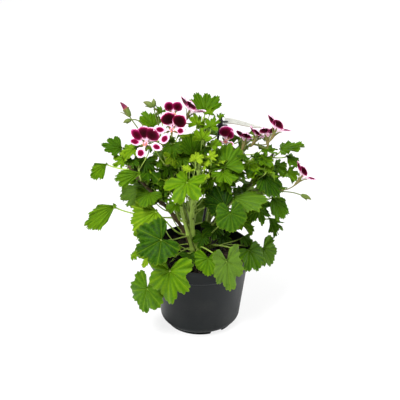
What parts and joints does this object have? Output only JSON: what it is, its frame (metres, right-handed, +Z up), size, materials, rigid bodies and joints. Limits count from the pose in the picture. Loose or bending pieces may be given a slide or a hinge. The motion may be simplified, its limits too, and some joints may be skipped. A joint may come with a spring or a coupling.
{
  "type": "potted geranium",
  "caption": "Small bicolour geranium with ruffled lobed leaves, dark-blotched flowers and buds, growing in a dark plastic nursery pot with a label on a stake.",
  "frame": {"origin": "on the floor under the pot, on the pot's axis", "axes": "+Z up along the pot's axis, +X to the right and +Y away from the plant's front"},
  "size_m": [0.2577, 0.1751, 0.2753],
  "materials": {
    "pot_plastic": "dark anthracite moulded plastic, satin",
    "soil": "damp dark peat potting soil, crumbly",
    "stem_skin": "green to brown plant stem, slightly hairy",
    "leaf_skin": "green ruffled leaf with pale veins, soft sheen",
    "petal_skin": "velvety maroon and white petal",
    "calyx_skin": "green stalk and calyx, slightly hairy",
    "stake_plastic": "black moulded plastic",
    "card_plastic": "translucent whitish plastic card, plain"
  },
  "bodies": {
    "root": {"bud_left": "calyx_skin", "bud_right": "calyx_skin", "bud_top": "calyx_skin", "flower_behind_calyx": "calyx_skin", "flower_behind_petals": "petal_skin", "flower_card_side_calyx": "calyx_skin", "flower_card_side_petals": "petal_skin", "flower_centre_calyx": "calyx_skin", "flower_centre_petals": "petal_skin", "flower_crown_calyx": "calyx_skin", "flower_crown_petals": "petal_skin", "flower_left_calyx": "calyx_skin", "flower_left_petals": "petal_skin", "flower_middle_calyx": "calyx_skin", "flower_middle_petals": "petal_skin", "flower_right_calyx": "calyx_skin", "flower_right_petals": "petal_skin", "flower_right_top_calyx": "calyx_skin", "flower_right_top_petals": "petal_skin", "label_card": "card_plastic", "label_stake": "stake_plastic", "leaf_back_high": "leaf_skin", "leaf_back_left": "leaf_skin", "leaf_back_low": "leaf_skin", "leaf_back_middle": "leaf_skin", "leaf_back_right": "leaf_skin", "leaf_bud_side": "leaf_skin", "leaf_centre": "leaf_skin", "leaf_centre_dark": "leaf_skin", "leaf_crown_top": "leaf_skin", "leaf_dark_left": "leaf_skin", "leaf_drooping_right": "leaf_skin", "leaf_far_left": "leaf_skin", "leaf_folded_left": "leaf_skin", "leaf_folded_right": "leaf_skin", "leaf_front_left": "leaf_skin", "leaf_front_pale": "leaf_skin", "leaf_front_rim": "leaf_skin", "leaf_funnel": "leaf_skin", "leaf_grey_left": "leaf_skin", "leaf_hanging_right": "leaf_skin", "leaf_high_left": "leaf_skin", "leaf_high_right": "leaf_skin", "leaf_inner_left": "leaf_skin", "leaf_low_left": "leaf_skin", "leaf_mid_right": "leaf_skin", "leaf_rim_right": "leaf_skin", "leaf_side_left": "leaf_skin", "leaf_side_right": "leaf_skin", "leaf_top_left": "leaf_skin", "leaf_upper_right": "leaf_skin", "pot": "pot_plastic", "soil": "soil", "stem_back": "stem_skin", "stem_front": "stem_skin", "stem_left": "stem_skin", "stem_main": "stem_skin", "stem_right": "stem_skin", "stem_upper_left": "stem_skin", "stem_upper_right": "stem_skin"}
  },
  "joints": []
}
